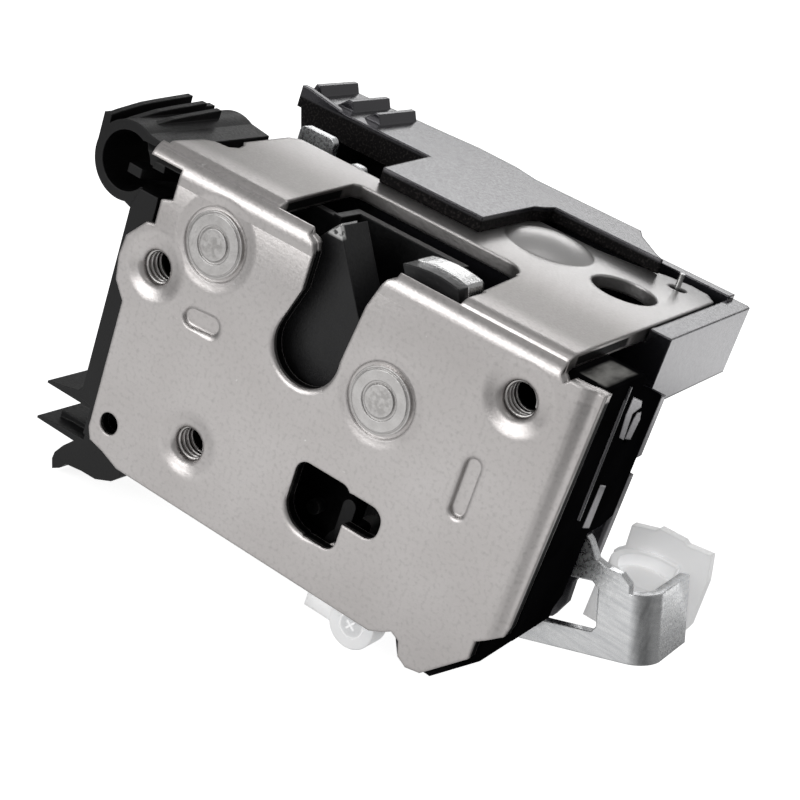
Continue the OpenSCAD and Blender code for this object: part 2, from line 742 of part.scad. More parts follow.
// Outside lever: a sheet with a window and a return at its end, which carries a stud
module lever_sheet() {
    difference() {
        union() {
            polygon([[-1, 4.6], [14, 3], [22.6, 1.7], [24, 2.1], [24.6, 1.4], [25.7, -1.2],
                [27.6, -2.2], [29.6, -2.6], [31, -4], [return_u + eps, lever_hi],
                [return_u + eps, lever_lo], [14, lever_lo], [-3.4, -3.2]]);
            circle(5);
        }
        polygon([[17.4, lever_lo + 3.6], [25.4, lever_lo + 3.6], [26.2, lever_lo + 4.6],
            [26.2, -5.4], [25.2, -4.5], [17.4, -4.5]]);
        circle(lever_pin_r + fit);
    }
}

module outside_lever() {
    color("gainsboro") at_lever() {
        front(lever_y, lever_y + lever_t) lever_sheet();
        up(lever_lo, lever_hi) difference() {
            union() {
                rect([return_u + bend_o - lever_t, lever_y + bend_o],
                    [return_u + bend_o, lever_y + 13]);
                intersection() {
                    disc([return_u, lever_y + bend_o], bend_o);
                    rect([return_u, lever_y], [return_u + bend_o, lever_y + bend_o]);
                }
            }
            disc([return_u, lever_y + bend_o], bend_o - lever_t);
        }
        translate([return_u + bend_o - eps, stud_y, stud_w])
            rotate([0, -90, 0]) cylinder(7, r = stud_r);
    }
}

module at_lever() {
    translate([lever_pivot[0], 0, lever_pivot[1]]) rotate([0, -lever_tilt, 0]) children();
}

module outside_lever_pin() {
    color("gainsboro") translate([lever_pivot[0], 0, lever_pivot[1]]) rotate([-90, 0, 0])
        translate([0, 0, floor_y]) {
            cylinder(case_d - wall - floor_y, r = lever_pin_r);
            cylinder(lever_y - 0.2 - floor_y, r = lever_pin_r + 1.6);
        }
}

// Snap-in clip for the outside handle's rod, on the stud inside the lever's return
module outside_rod_clip() {
    cup = [clip_x - 1.4, lever_y + 7.2];
    color([0.93, 0.93, 0.9]) difference() {
        union() {
            box([clip_x - 7.8, lever_y + 3.2, clip_z - 9.4], [clip_x, lever_y + 14, clip_z - 2.2]);
            up(clip_z - 4, clip_z) intersection() {
                disc(cup, 6.8);
                rect([clip_x - 10, lever_y + 3.2], [clip_x, lever_y + 14]);
            }
            front(lever_y + 13.9, lever_y + 15.6) translate([clip_x, clip_z]) polygon([[-9.3, 2],
                [-5.6, 3.1], [-5.2, 3.7], [-1.1, 3.8], [-0.5, 3.4], [3.5, 3.9], [4.5, -0.2],
                [4.7, -7.8], [4.3, -9], [-8.2, -8.8], [-10.2, -4.8], [-10.4, -3], [-9, -1.7]]);
        }
        difference() {
            up(clip_z - 2.2, clip_z + 5) disc(cup, 5.6);
            up(clip_z - 3, clip_z - 1.4) disc(cup + [-1, 0.3], 3.6);
            box([40, lever_y + 13.9, clip_z - 3], [60, lever_y + 16, clip_z + 6]);
        }
        at_lever() translate([return_u + bend_o, stud_y, stud_w])
            rotate([0, -90, 0]) cylinder(18, r = stud_r + fit);
    }
}

// Lock lever: tab in the window above its pivot, arm through the bottom wall below it
module lock_lever() {
    color([0.2, 0.2, 0.21]) translate([lock_pivot[0], 0, lock_pivot[1]]) difference() {
        union() {
            front(lock_y, lock_y + 3) circle(3.6);
            front(lock_y, lock_y + 3) round_rect([-2.4, 0], [1.6, 5], 0.8);
            front(lock_y - 0.2, lock_y + 3) round_rect([-2.4, 1], [-0.1, 8.4], 1.1);
            front(lock_y, lock_y + 3) rect([-1.6, -5.4], [3, -2]);
            front(lock_y, lock_y + 6.2) rect([-1.6, -5.4], [3, -4]);
            front(lock_y + 4.2, lock_y + 6.2) polygon([[-1.6, -5.4], [-1.6, -4], [3, -4],
                [7.2, -8], [7.2, -11.6], [3.4, -11.6]]);
            translate([lock_stud[0], lock_y + 0.1, lock_stud[1]]) rotate([-90, 0, 0])
                cylinder(5, r = 1.8);
        }
        front(0, floor_y) circle(lock_pin_r + fit);
    }
}

module lock_lever_pin() {
    color("gainsboro") translate([lock_pivot[0], 0, lock_pivot[1]]) rotate([-90, 0, 0]) {
        translate([0, 0, plate_t]) cylinder(floor_y - plate_t, r = lock_pin_r);
        translate([0, 0, lock_y + 3.2]) cylinder(floor_y - wall - lock_y - 3.2, r = lock_pin_r + 1.5);
    }
}

module lock_rod_clip() {
    color([0.93, 0.93, 0.9]) translate([lock_pivot[0] + lock_stud[0], lock_y,
        lock_pivot[1] + lock_stud[1]]) difference() {
        union() {
            rotate([-90, 0, 0]) cylinder(3.9, r = 3.9);
            box([-9.2, 1.4, -2.3], [-3, 3.9, 1.7]);
        }
        rotate([-90, 0, 0]) translate([0, 0, -1]) cylinder(7, r = 1.8 + fit);
        translate([-10, 2.65, -0.3]) rotate([0, 90, 0]) cylinder(4.6, r = 0.8);
    }
}

// Inside lever: a flat lever whose tip reaches into the cable seat
module inside_lever() {
    color([0.2, 0.2, 0.2]) translate([inside_pivot[0], inside_pivot[1], 0]) difference() {
        union() {
            up(inside_z, inside_z + lever_t) circle(4.4);
            up(inside_z, inside_z + lever_t) polygon([[1, -3.4], [-6.4, -12.4], [-9.2, -18.3],
                [-11.9, -18.1], [-11.1, -13.9], [-8.6, -10], [-3.4, 1], [-2.4, -2.4]]);
            up(inside_z, inside_z + lever_t) polygon([[0.6, 3.4], [3.4, 1.2], [3.2, -1.4],
                [12.8, -3], [13.4, 0.2]]);
        }
        up(inside_z - 1, inside_z + lever_t + 1) circle(lever_pin_r + fit);
    }
}

module inside_lever_pin() {
    color("gainsboro") translate([inside_pivot[0], inside_pivot[1], 0]) {
        up(tray_bottom - 0.2, case_top) circle(lever_pin_r);
        up(tray_bottom - 0.2, inside_z - 0.2) circle(lever_pin_r + 1.5);
    }
}

// Locking slide: zinc-plated lever in the tray with two upturned tabs
module locking_slide() {
    color("gainsboro") translate([slide_pivot[0], slide_pivot[1], 0]) {
        up(slide_z, slide_z + lever_t) difference() {
            union() {
                circle(5);
                polygon([[-22.7, -4], [-15.6, -4], [-10.6, -7.4], [-7, -7.4], [0, -4.8], [4, 3],
                    [0, 5], [-22.7, 1]]);
            }
            circle(lever_pin_r + fit);
        }
        front(-4.6, -4.6 + lever_t) round_rect([-22.7, slide_z], [-15.7, flange_top + 0.8], 1.2);
        front(-7.4, -7.4 + lever_t) round_rect([-10.4, slide_z], [-7.6, flange_top - 0.5], 0.8);
    }
}

module locking_pin() {
    color("gainsboro") translate([slide_pivot[0], slide_pivot[1], 0]) {
        up(tray_bottom + wall, flange_top) circle(lever_pin_r);
        up(tray_bottom + wall, slide_z - 0.2) circle(lever_pin_r + 1.5);
    }
}

// Toggle spring: coil on the tray's floor with one leg up through the flange
module toggle_spring() {
    wire = 1;
    color("lightgrey") translate([toggle_c[0], toggle_c[1], tray_bottom + wall]) {
        rotate([90, 0, 0]) coil(toggle_r, wire, 4);
        translate([toggle_r, -0.6, wire / 2])
            cylinder(flange_top + 2 - tray_bottom - wall, d = wire - 0.1, $fn = 16);
        translate([-toggle_r, 0, 3.2]) rotate([90, 0, 0])
            cylinder(12, d = wire - 0.1, $fn = 16);
    }
}

module cover_screws() {
    color("dimgray") for (c = screw_spots) translate([c[0], 0, c[1]]) rotate([-90, 0, 0]) {
        translate([0, 0, floor_y - wall - 2]) cylinder(case_d - 0.6 - floor_y + wall + 2, r = 1.2);
        translate([0, 0, case_d - 0.6]) cylinder(1.5, r = 2.8);
    }
}

module tray_screws() {
    color("dimgray") for (c = tray_spots) translate([c[0], 0, c[1]]) rotate([-90, 0, 0]) {
        translate([0, 0, case_d - wall - 3]) cylinder(wall + 3 + gap + wall + eps, r = 1.2);
        translate([0, 0, tray_y + wall]) cylinder(1.5, r = 2.6);
    }
}

face_plate();
housing();
back_plate();
back_cover();
rear_cover();
claw_rivet();
pawl_rivet();
striker_bumper();
claw_core();
claw_cover();
claw_spring();
pawl_core();
pawl_cover();
pawl_spring();
outside_lever();
outside_lever_pin();
outside_rod_clip();
lock_lever();
lock_lever_pin();
lock_rod_clip();
inside_lever();
inside_lever_pin();
locking_slide();
locking_pin();
toggle_spring();
cover_screws();
tray_screws();
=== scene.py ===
# Car door lock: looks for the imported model. Every piece sits where the model has it.
# Across is X, back is Y and up is Z. Sizes in mm() or times MM are in millimetres.
import math

import bmesh
import bpy
from mathutils import Matrix, Vector


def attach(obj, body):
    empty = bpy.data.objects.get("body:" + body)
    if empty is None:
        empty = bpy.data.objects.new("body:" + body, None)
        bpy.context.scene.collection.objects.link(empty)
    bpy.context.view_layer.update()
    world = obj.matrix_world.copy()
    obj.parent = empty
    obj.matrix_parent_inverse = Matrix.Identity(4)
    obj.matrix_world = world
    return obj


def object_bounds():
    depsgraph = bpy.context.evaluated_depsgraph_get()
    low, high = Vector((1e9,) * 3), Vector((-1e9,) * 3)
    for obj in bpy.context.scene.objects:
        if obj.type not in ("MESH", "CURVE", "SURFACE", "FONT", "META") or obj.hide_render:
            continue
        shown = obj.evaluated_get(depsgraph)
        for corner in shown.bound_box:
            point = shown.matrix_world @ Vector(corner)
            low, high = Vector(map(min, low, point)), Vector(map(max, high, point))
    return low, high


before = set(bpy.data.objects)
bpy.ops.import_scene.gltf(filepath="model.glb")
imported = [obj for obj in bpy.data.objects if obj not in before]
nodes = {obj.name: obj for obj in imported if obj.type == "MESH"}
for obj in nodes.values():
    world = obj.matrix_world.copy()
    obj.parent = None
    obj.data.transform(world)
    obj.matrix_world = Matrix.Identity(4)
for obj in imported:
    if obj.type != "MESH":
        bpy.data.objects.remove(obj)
cad_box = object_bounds()
MM = 0.001


# Camera: the lens and the place that put the face plate's right angles, its holes and
# its flange where the photograph has them. The lock is tipped in the picture, so the
# camera is rolled by about 19 degrees.
film_width = 36.0
lens = 78.75
nearest_seen = 0.01
picture_right = Vector((0.7962, 0.5256, 0.2995)).normalized()
line_of_sight = Vector((-0.4010, 0.8292, -0.3894))
camera_spot = Vector((112.05, -200.07, 107.48)) * MM
camera_data = bpy.data.cameras.new("camera")
camera_data.sensor_width = film_width
camera_data.lens = lens
camera_data.clip_start = nearest_seen
camera = bpy.data.objects.new("camera", camera_data)
bpy.context.scene.collection.objects.link(camera)
line_of_sight = (line_of_sight
                 - picture_right * line_of_sight.dot(picture_right)).normalized()
picture_up = picture_right.cross(line_of_sight)
place = Matrix((picture_right, picture_up, -line_of_sight)).transposed().to_4x4()
place.translation = camera_spot
camera.matrix_world = place
bpy.context.scene.camera = camera
bpy.context.scene.view_settings.view_transform = "Standard"


# Floor: a pale round sheet under the lock. It shows white to the camera and keeps a soft
# shadow. In reflections it is a darker table with two spots of painted light that glow there,
# the brightest behind the lock at the right.
floor_size = 3.0
floor_gap = 0.0004
paper_tone = (0.9, 0.9, 0.9, 1)
paper_in_reflections = (0.42, 0.42, 0.42, 1)
paper_roughness = 0.9
glow_to_camera = 0.85
# Two spots on the floor glow as painted light that only reflections see: middle, strength and
# fade of each.
far_spot, far_painted_glow, far_fade = (0.125, 0.215), 1.6, (0.05, 0.10)
near_spot, near_painted_glow, near_fade = (-0.022, -0.090), 0.63, (0.045, 0.19)
floor_mesh = bpy.data.meshes.new("floor")
floor_form = bmesh.new()
bmesh.ops.create_circle(floor_form, cap_ends=True, segments=96, radius=floor_size)
bmesh.ops.translate(floor_form, verts=floor_form.verts, vec=(0, 0, cad_box[0][2] - floor_gap))
floor_form.to_mesh(floor_mesh)
floor_form.free()
floor = bpy.data.objects.new("floor", floor_mesh)
bpy.context.scene.collection.objects.link(floor)


def new_finish(name):
    """A new material, with its nodes and links."""
    made = bpy.data.materials.new(name)
    made.use_nodes = True
    return made, made.node_tree.nodes, made.node_tree.links


def work(parts, links, kind, *values):
    """One sum on numbers or sockets."""
    step = parts.new("ShaderNodeMath")
    step.operation = kind
    for slot, value in zip(step.inputs, values):
        if isinstance(value, (int, float)):
            slot.default_value = value
        else:
            links.new(value, slot)
    return step.outputs[0]


def spread(parts, links, value, low, high, source=(0.3, 0.7), smooth=False):
    """A value moved from one range into another, held at its ends."""
    band = parts.new("ShaderNodeMapRange")
    if smooth:
        band.interpolation_type = "SMOOTHSTEP"
    band.inputs["From Min"].default_value, band.inputs["From Max"].default_value = source
    band.inputs["To Min"].default_value = low
    band.inputs["To Max"].default_value = high
    links.new(value, band.inputs["Value"])
    return band.outputs["Result"]


def axes(parts, links):
    """The piece's own X, Y and Z in metres."""
    where = parts.new("ShaderNodeTexCoord")
    split = parts.new("ShaderNodeSeparateXYZ")
    links.new(where.outputs["Object"], split.inputs[0])
    return split.outputs["X"], split.outputs["Y"], split.outputs["Z"]


def reach(parts, links, first, second, spot):
    """Distance from a spot in a plane of two axes."""
    one = work(parts, links, "POWER", work(parts, links, "SUBTRACT", first, spot[0]), 2.0)
    two = work(parts, links, "POWER", work(parts, links, "SUBTRACT", second, spot[1]), 2.0)
    return work(parts, links, "SQRT", work(parts, links, "ADD", one, two))


paper, tree, wires = new_finish("floor_paper")
sheet = tree["Principled BSDF"]
sheet.inputs["Roughness"].default_value = paper_roughness
sheet.inputs["Specular IOR Level"].default_value = 0.0
ray = tree.new("ShaderNodeLightPath")
lift = tree.new("ShaderNodeEmission")
both = tree.new("ShaderNodeAddShader")
table_x, table_y, _ = axes(tree, wires)
reflected_glow = work(tree, wires, "ADD",
            spread(tree, wires, reach(tree, wires, table_x, table_y, far_spot),
                   far_painted_glow, 0, far_fade, smooth=True),
            spread(tree, wires, reach(tree, wires, table_x, table_y, near_spot),
                   near_painted_glow, 0, near_fade, smooth=True))
seen = work(tree, wires, "MULTIPLY", ray.outputs["Is Camera Ray"], glow_to_camera)
mirrored = work(tree, wires, "MULTIPLY", ray.outputs["Is Glossy Ray"], reflected_glow)
dulled = tree.new("ShaderNodeMix")
dulled.data_type = "RGBA"
dulled.inputs["A"].default_value = paper_tone
dulled.inputs["B"].default_value = paper_in_reflections
wires.new(ray.outputs["Is Glossy Ray"], dulled.inputs["Factor"])
wires.new(dulled.outputs["Result"], sheet.inputs["Base Color"])
wires.new(work(tree, wires, "ADD", seen, mirrored), lift.inputs["Strength"])
wires.new(sheet.outputs[0], both.inputs[0])
wires.new(lift.outputs[0], both.inputs[1])
wires.new(both.outputs[0], tree["Material Output"].inputs["Surface"])
floor_mesh.materials.append(paper)


# Light: a white room that shows white behind the lock, and soft boxes: one low behind for
# the glossy tops and the flange, one wide and low in front for the bend, one above.
room_light = 0.34
room_to_camera = 1.0
world = bpy.data.worlds.new("studio")
bpy.context.scene.world = world
world.use_nodes = True
sky = world.node_tree
background = sky.nodes["Background"]
background.inputs["Color"].default_value = (1, 1, 1, 1)
sky_ray = sky.nodes.new("ShaderNodeLightPath")
dim = sky.nodes.new("ShaderNodeMapRange")
dim.inputs["To Min"].default_value = room_light
dim.inputs["To Max"].default_value = room_to_camera
sky.links.new(sky_ray.outputs["Is Camera Ray"], dim.inputs["Value"])
sky.links.new(dim.outputs["Result"], background.inputs["Strength"])


def soft_box(name, spot, aim, size, radiance):
    """A flat lamp that points from its spot at the aim, in metres."""
    data = bpy.data.lights.new(name, "AREA")
    data.shape = "RECTANGLE"
    data.size, data.size_y = size
    data.energy = radiance * math.pi * size[0] * size[1]
    lamp = bpy.data.objects.new(name, data)
    bpy.context.scene.collection.objects.link(lamp)
    look = (Vector(aim) - Vector(spot)).to_track_quat("-Z", "Y")
    lamp.matrix_world = Matrix.Translation(spot) @ look.to_matrix().to_4x4()


soft_box("box_behind", spot=(-0.43, 1.0, 0.385), aim=(0, 0.03, 0.02), size=(0.48, 0.2),
         radiance=2.15)
soft_box("box_front", spot=(-0.58, -1.15, 0.34), aim=(0, 0, 0.02), size=(1.0, 0.6),
         radiance=3.0)
soft_box("box_above", spot=(-0.1, 0.0, 1.2), aim=(0, 0, 0), size=(0.6, 0.6),
         radiance=1.2)


# Face plate: one pressed sheet of zinc-plated steel. Its corners are rolled soft, the sheet
# sinks softly round the drawn collars and the rivets, and its cut faces are painted near-black
# as shade. The back plate is cut from the same sheet.

# Tones: two of the zinc in clouds, streaks of the rolling, mottle and bright pits.
zinc_dark, zinc_light = (0.565, 0.538, 0.528), (0.625, 0.60, 0.592)
streak_tone = (0.46, 0.45, 0.435)
mottle_tone = (0.43, 0.415, 0.405)
pit_tone = (0.85, 0.84, 0.83)
plate_rough = (0.31, 0.40)
# Painted shade and light on the flange: shade behind the bend, light at its back, and shade
# in the right rear corner. Each tone comes in, and the first goes out again, between two
# places on the sheet.
bend_shade_tone, bend_from, bend_to = (0.33, 0.315, 0.305), (3.8, 9.0), (13.0, 34.0)
back_light_tone, back_from = (0.66, 0.65, 0.645), (16.0, 38.0)
corner_shade_tone, corner_across, corner_back = (0.36, 0.355, 0.355), (16.0, 28.0), (40.0, 52.0)
# Cut faces, painted near-black as shade and made rougher: the front's lie between two depths,
# below the bend and off the collars, and follow the set-back along the right edge. The
# flange's lie between two heights.
cut_face_shade_tone, sheared_rough = (0.012, 0.012, 0.012), 0.25
front_edge, front_below, off_collars = (0.75, 2.0), (26.6, 27.0), (4.3, 4.6)
step_depth, step_across = 0.9, (39.1, 41.4)
flange_edge, flange_from, flange_to = (28.6, 29.95), (3.7, 4.1), (19.5, 20.5)
# Fine relief of grain and streaks, and the radius of the rolled corners.
grain_relief, streak_relief = 0.016, 0.01
corner_radius = 0.6
# Drawn collars and rivets: the sheet sinks from the larger radius to the smaller one.
hole_spots = [(-30.0, 12.5), (-15.9, -10.4), (31.7, 22.0)]
collar_dip, collar_reach = 0.75, (2.6, 5.8)
rivet_spots = [(12.5, 12.0), (-20.9, 20.5)]
rivet_dip, rivet_reach = 0.32, (5.5, 7.6)
# Crown: the front rolls back towards the bend, and less so at the right.
crown_drop, crown_curve, crown_up = 0.9, 2.4, (14.0, 26.0)
crown_front, crown_across, crown_right = (1.2, 1.6), (-6.0, 18.0), 0.35
# Soft rims of the slot and the window: middle, radius and top of each.
rim_drop, rim_width, rim_fade, rim_right = 0.42, 1.2, 2.0, (4.5, 6.5)
rim_arcs = [((-1.2, 13.2), 5.8, 17.0), ((7.5, -8.4), 4.6, -7.0)]
# Pressed beads: middle, half lengths of the middle line and radius of each.
bead_dip, bead_slope = 0.35, (-0.5, 0.8)
beads = [((29.0, 6.8), (0.0, 3.4), 1.25), ((-19.5, 8.6), (1.8, 0.0), 1.5)]


def mm(*sizes):
    """Sizes in millimetres, given in metres."""
    return tuple(size * MM for size in sizes)


def edge_rounding(parts, links, radius, height, depth=1.0):
    """Soft edges as a press or mould leaves them, with the surface relief on top."""
    soft = parts.new("ShaderNodeBevel")
    soft.samples = 6
    soft.inputs["Radius"].default_value = radius
    bump = parts.new("ShaderNodeBump")
    bump.inputs["Strength"].default_value = 1.0
    bump.inputs["Distance"].default_value = depth
    links.new(height, bump.inputs["Height"])
    links.new(soft.outputs["Normal"], bump.inputs["Normal"])
    links.new(bump.outputs["Normal"], parts["Principled BSDF"].inputs["Normal"])


def grain(parts, links, scale, detail, stretch=(1, 1, 1)):
    """Noise on the piece's own coordinates, scale in bumps per metre."""
    where = parts.new("ShaderNodeTexCoord")
    mapped = parts.new("ShaderNodeMapping")
    mapped.inputs["Scale"].default_value = stretch
    noise = parts.new("ShaderNodeTexNoise")
    noise.inputs["Scale"].default_value = scale
    noise.inputs["Detail"].default_value = detail
    links.new(where.outputs["Object"], mapped.inputs["Vector"])
    links.new(mapped.outputs["Vector"], noise.inputs["Vector"])
    return noise.outputs["Fac"]


def mix_tones(parts, links, amount, one, two):
    """Two colours, or a colour laid over what an earlier step gives."""
    ramp = parts.new("ShaderNodeMix")
    ramp.data_type = "RGBA"
    for slot, value in (("A", one), ("B", two)):
        if isinstance(value, tuple):
            ramp.inputs[slot].default_value = (*value, 1)
        else:
            links.new(value, ramp.inputs[slot])
    links.new(amount, ramp.inputs["Factor"])
    return ramp.outputs["Result"]


def between(parts, links, value, low, high, soft=0.00008):
    """1 between two heights and 0 outside, with a soft edge."""
    over = spread(parts, links, value, 0, 1, (low - soft, low + soft))
    under = spread(parts, links, value, 1, 0, (high - soft, high + soft))
    return work(parts, links, "MULTIPLY", over, under)


def every(parts, links, *values):
    """The product of several masks."""
    whole = values[0]
    for value in values[1:]:
        whole = work(parts, links, "MULTIPLY", whole, value)
    return whole


zinc_sheet, tree, wires = new_finish("zinc_sheet")
body = tree["Principled BSDF"]
body.inputs["Metallic"].default_value = 1.0
along, inward, height = axes(tree, wires)
clouds = grain(tree, wires, scale=70, detail=3)
rolled = grain(tree, wires, scale=300, detail=3, stretch=(1.0, 1.0, 7.0))
small = grain(tree, wires, scale=2600, detail=3)
tone = mix_tones(tree, wires, spread(tree, wires, clouds, 0, 1, (0.25, 0.75)),
                 zinc_dark, zinc_light)
streaks = spread(tree, wires, rolled, 0, 0.16, (0.4, 0.75))
tone = mix_tones(tree, wires, streaks, tone, streak_tone)
mottle = spread(tree, wires, grain(tree, wires, scale=1500, detail=3), 0, 0.5, (0.5, 0.72))
tone = mix_tones(tree, wires, mottle, tone, mottle_tone)
pits = spread(tree, wires, grain(tree, wires, scale=520, detail=2), 0, 0.8, (0.74, 0.79))
tone = mix_tones(tree, wires, pits, tone, pit_tone)
# Painted shade behind the bend, painted light at the back, painted shade in the right rear
# corner.
shade_behind_bend = every(tree, wires, spread(tree, wires, inward, 0, 1, mm(*bend_from), smooth=True),
                  spread(tree, wires, inward, 1, 0, mm(*bend_to), smooth=True))
tone = mix_tones(tree, wires, shade_behind_bend, tone, bend_shade_tone)
light_at_back = spread(tree, wires, inward, 0, 1, mm(*back_from), smooth=True)
tone = mix_tones(tree, wires, light_at_back, tone, back_light_tone)
shaded_corner = every(tree, wires,
                    spread(tree, wires, along, 0, 1, mm(*corner_across), smooth=True),
                    spread(tree, wires, inward, 0, 1, mm(*corner_back), smooth=True))
tone = mix_tones(tree, wires, shaded_corner, tone, corner_shade_tone)
stepped = spread(tree, wires, along, 0, step_depth * MM, mm(*step_across), smooth=True)
front_depth = work(tree, wires, "SUBTRACT", inward, stepped)
front_cut_shade = every(tree, wires, between(tree, wires, front_depth, *mm(*front_edge)),
                   spread(tree, wires, height, 1, 0, mm(*front_below)))
for spot in hole_spots:
    apart = reach(tree, wires, along, height, mm(*spot))
    front_cut_shade = every(tree, wires, front_cut_shade,
                       spread(tree, wires, apart, 0, 1, mm(*off_collars)))
flange_cut_shade = every(tree, wires, between(tree, wires, height, *mm(*flange_edge)),
                    spread(tree, wires, inward, 0, 1, mm(*flange_from)),
                    spread(tree, wires, inward, 1, 0, mm(*flange_to)))
cut_face_shade = work(tree, wires, "MAXIMUM", front_cut_shade, flange_cut_shade)
# The cut faces take a near-black painted shade and more roughness.
wires.new(mix_tones(tree, wires, cut_face_shade, tone, cut_face_shade_tone), body.inputs["Base Color"])
wires.new(work(tree, wires, "ADD", spread(tree, wires, small, *plate_rough),
               work(tree, wires, "MULTIPLY", cut_face_shade, sheared_rough)), body.inputs["Roughness"])
relief = work(tree, wires, "ADD", work(tree, wires, "MULTIPLY", small, grain_relief * MM),
              work(tree, wires, "MULTIPLY", rolled, streak_relief * MM))
for spot, half, radius in beads:
    legs = []
    for value, middle, reached in zip((along, height), spot, half):
        off = work(tree, wires, "ABSOLUTE", work(tree, wires, "SUBTRACT", value, middle * MM))
        off = work(tree, wires, "SUBTRACT", off, reached * MM)
        legs.append(work(tree, wires, "MAXIMUM", off, 0.0))
    apart = reach(tree, wires, *legs, (0.0, 0.0))
    slope = mm(radius + bead_slope[0], radius + bead_slope[1])
    relief = work(tree, wires, "ADD", relief,
                  spread(tree, wires, apart, -bead_dip * MM, 0, slope, smooth=True))
for spot, radius, top in rim_arcs:
    apart = reach(tree, wires, along, height, mm(*spot))
    rim = work(tree, wires, "POWER",
               spread(tree, wires, apart, 1, 0, mm(radius, radius + rim_width)), 2.0)
    right_end = mm(spot[0] + rim_right[0], spot[0] + rim_right[1])
    rim = every(tree, wires, rim,
                spread(tree, wires, height, 1, 0, mm(top - rim_fade, top)),
                spread(tree, wires, along, 1, 0, right_end))
    relief = work(tree, wires, "ADD", relief,
                  work(tree, wires, "MULTIPLY", rim, -rim_drop * MM))
crown = work(tree, wires, "POWER",
             spread(tree, wires, height, 0, 1, mm(*crown_up)), crown_curve)
crown = every(tree, wires, crown, spread(tree, wires, inward, 1, 0, mm(*crown_front)),
              spread(tree, wires, along, 1, crown_right, mm(*crown_across), smooth=True))
relief = work(tree, wires, "ADD", relief,
              work(tree, wires, "MULTIPLY", crown, -crown_drop * MM))
for spots, sunk, reached in ((hole_spots, collar_dip, collar_reach),
                             (rivet_spots, rivet_dip, rivet_reach)):
    for spot in spots:
        apart = reach(tree, wires, along, height, mm(*spot))
        relief = work(tree, wires, "ADD", relief,
                      spread(tree, wires, apart, -sunk * MM, 0, mm(*reached), smooth=True))
edge_rounding(tree, wires, corner_radius * MM, relief)


def dress(material, *names):
    """Gives pieces of the model their material."""
    for name in names:
        mesh = nodes[name].data
        mesh.materials.clear()
        mesh.materials.append(material)


dress(zinc_sheet, "face_plate", "back_plate")


# Rivets and pins: turned and headed steel, plated after the work. The two rivets join the
# face plate and the back plate and are the pivots of claw and pawl. Their heads carry two thin
# dark rings of painted shade. The pins carry the levers.
# Painted shade rings on the rivet heads: inner and outer radius of each, their tone and
# strength.
shade_rings, ring_shade_tone, ring_shade_strength = ((2.4, 2.65), (4.6, 4.8)), (0.2, 0.19, 0.185), 0.55
scuffed_middle, scuff_tone = (1.8, 2.4), (0.3, 0.29, 0.28)


def metal(name, dark, light, rough, cloud, fine, depth, radius, stretch=(1, 1, 1),
          patches=None):
    """Metal in two clouded tones with a fine grain; patches lays marks over the tone."""
    made, parts, links = new_finish(name)
    body = parts["Principled BSDF"]
    body.inputs["Metallic"].default_value = 1.0
    clouds = grain(parts, links, cloud, detail=4, stretch=stretch)
    small = grain(parts, links, fine, detail=3)
    toned = mix_tones(parts, links, spread(parts, links, clouds, 0, 1), dark, light)
    if patches:
        toned = patches(parts, links, toned)
    links.new(toned, body.inputs["Base Color"])
    links.new(spread(parts, links, small, *rough), body.inputs["Roughness"])
    edge_rounding(parts, links, radius, small, depth)
    return made


def ring_shade_and_scuffs(parts, links, toned):
    """Dark rings of painted shade on the heads, and a scuffed middle."""
    along, _, height = axes(parts, links)
    scuffs = spread(parts, links, grain(parts, links, scale=1300, detail=4), 0, 0.5, (0.42, 0.6))
    for spot in rivet_spots:
        apart = reach(parts, links, along, height, mm(*spot))
        rings = [between(parts, links, apart, *mm(*mark)) for mark in shade_rings]
        ring = work(parts, links, "ADD", *rings)
        toned = mix_tones(parts, links, work(parts, links, "MULTIPLY", ring, ring_shade_strength),
                          toned, ring_shade_tone)
        middle = every(parts, links,
                       spread(parts, links, apart, 1, 0, mm(*scuffed_middle)), scuffs)
        toned = mix_tones(parts, links, middle, toned, scuff_tone)
    return toned


rivet_steel = metal("rivet_steel", dark=(0.56, 0.545, 0.535), light=(0.66, 0.645, 0.635),
                    rough=(0.28, 0.4), cloud=700, fine=2600, depth=0.00006, radius=0.0003,
                    patches=ring_shade_and_scuffs)
dress(rivet_steel, "claw_rivet", "pawl_rivet", "outside_lever_pin", "lock_lever_pin",
      "inside_lever_pin", "locking_pin")


# Cores of claw and pawl: fine-blanked from thick hardened steel. They carry the load, and
# stay bright where the plastic skin leaves them bare.
core_steel = metal("core_steel", dark=(0.62, 0.62, 0.62), light=(0.86, 0.86, 0.86),
                   rough=(0.18, 0.3), cloud=600, fine=2600, depth=0.00003, radius=0.0003)
dress(core_steel, "claw_core", "pawl_core")


# Springs: drawn steel wire, wound and bent cold. Two torsion springs turn claw and pawl
# back, and the toggle spring stands up through a slit in the flange.
spring_wire = metal("spring_wire", dark=(0.5, 0.5, 0.5), light=(0.66, 0.66, 0.65),
                    rough=(0.22, 0.3), cloud=900, fine=3000, depth=0.00001, radius=0.0001)
dress(spring_wire, "claw_spring", "pawl_spring", "toggle_spring")


# Screws: small steel screws with a black finish. Three fasten the back cover to the
# housing from behind, and two fasten the rear cover to the back cover.
screw_steel = metal("screw_steel", dark=(0.1, 0.1, 0.1), light=(0.16, 0.16, 0.16),
                    rough=(0.4, 0.5), cloud=900, fine=3000, depth=0.00001, radius=0.0002)
dress(screw_steel, "cover_screws", "tray_screws")


# Levers: the outside lever and the locking slide, pressed from bright galvanised sheet
# with streaks left by the bath. The outside lever ends in a bent return, whose stud
# carries the rod's clip. A dark band of painted shade runs along the return's bend.
lever_slope = math.radians(18.5)
return_bend, bend_soft = (48.2, 50.6), 0.5
# Tone of the painted shade along the return's bend.
bend_shade_zinc = (0.34, 0.345, 0.35)


